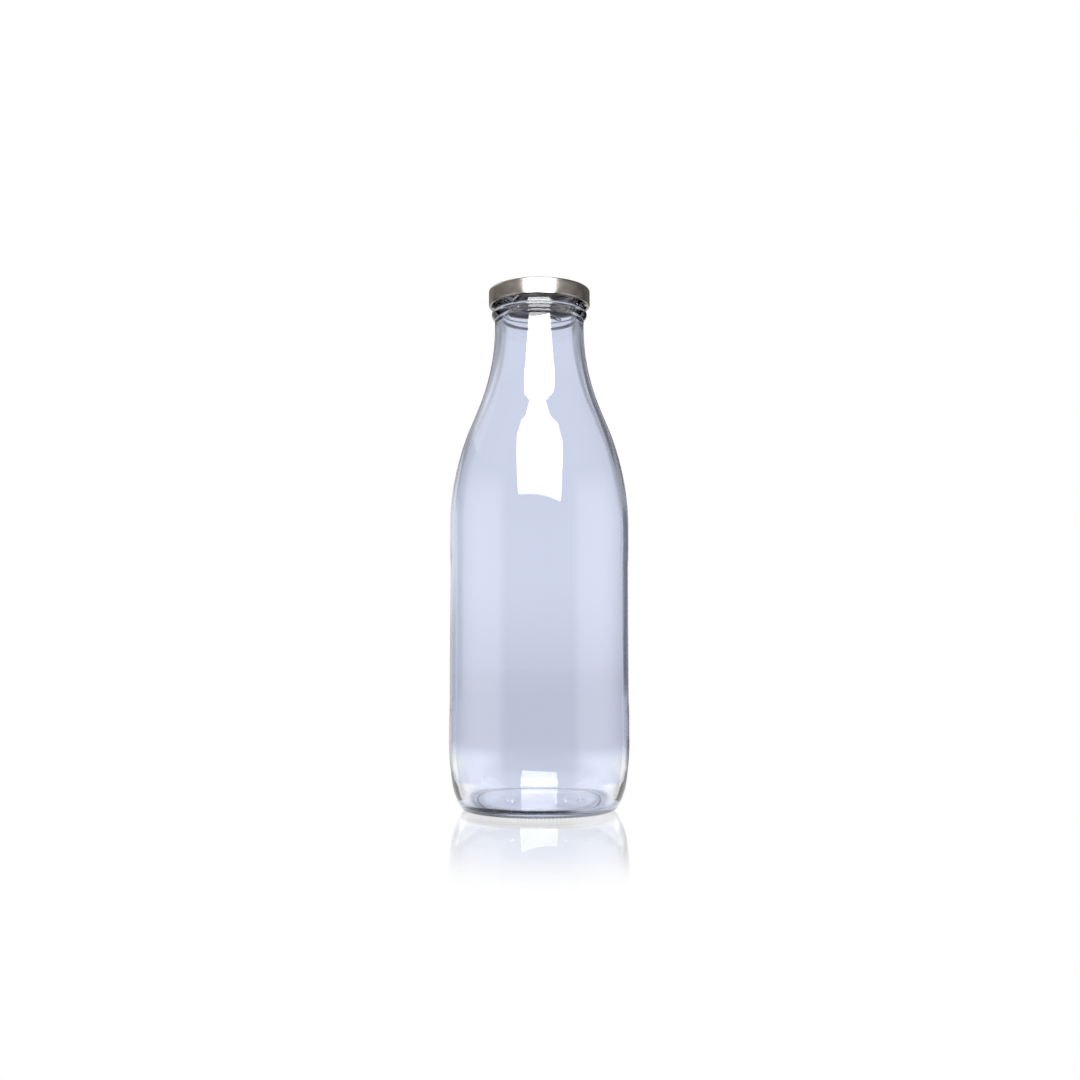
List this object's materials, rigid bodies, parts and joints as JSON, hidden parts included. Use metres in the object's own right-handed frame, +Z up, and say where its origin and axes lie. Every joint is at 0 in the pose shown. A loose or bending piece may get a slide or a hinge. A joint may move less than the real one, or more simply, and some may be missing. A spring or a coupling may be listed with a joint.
{
  "type": "glass milk bottle",
  "caption": "Clear round glass milk bottle with sloping shoulders, a wide mouth and a silver twist-off metal lid that unscrews along its thread.",
  "frame": {"origin": "centre of the base, on the plane of the bearing ring that the bottle stands on", "axes": "+Z up along the bottle's axis, out of the mouth; -Y faces the viewer"},
  "size_m": [0.089, 0.089, 0.2588],
  "materials": {
    "clear_glass": "clear, polished, faint blue tint",
    "plastisol": "soft satin sealing compound",
    "tinplate": "bright silver, lightly satin"
  },
  "bodies": {
    "bottle": {"bottle": "clear_glass"},
    "gasket": {"gasket": "plastisol"},
    "lid": {"lid": "tinplate"}
  },
  "joints": [
    {"name": "lid_rise", "type": "slide", "parent": "bottle", "child": "gasket", "axis": [0, 0, 1], "range_m": [0, 0.016]},
    {"name": "lid_turn", "type": "hinge", "parent": "gasket", "child": "lid", "pos_m": [0, 0, 0.2545], "axis": [0, 0, 1], "range_deg": [0, 450]}
  ],
  "couplings": [
    {"joint": "lid_rise", "follows": "lid_turn", "m_per_rad": 0.0020213}
  ]
}
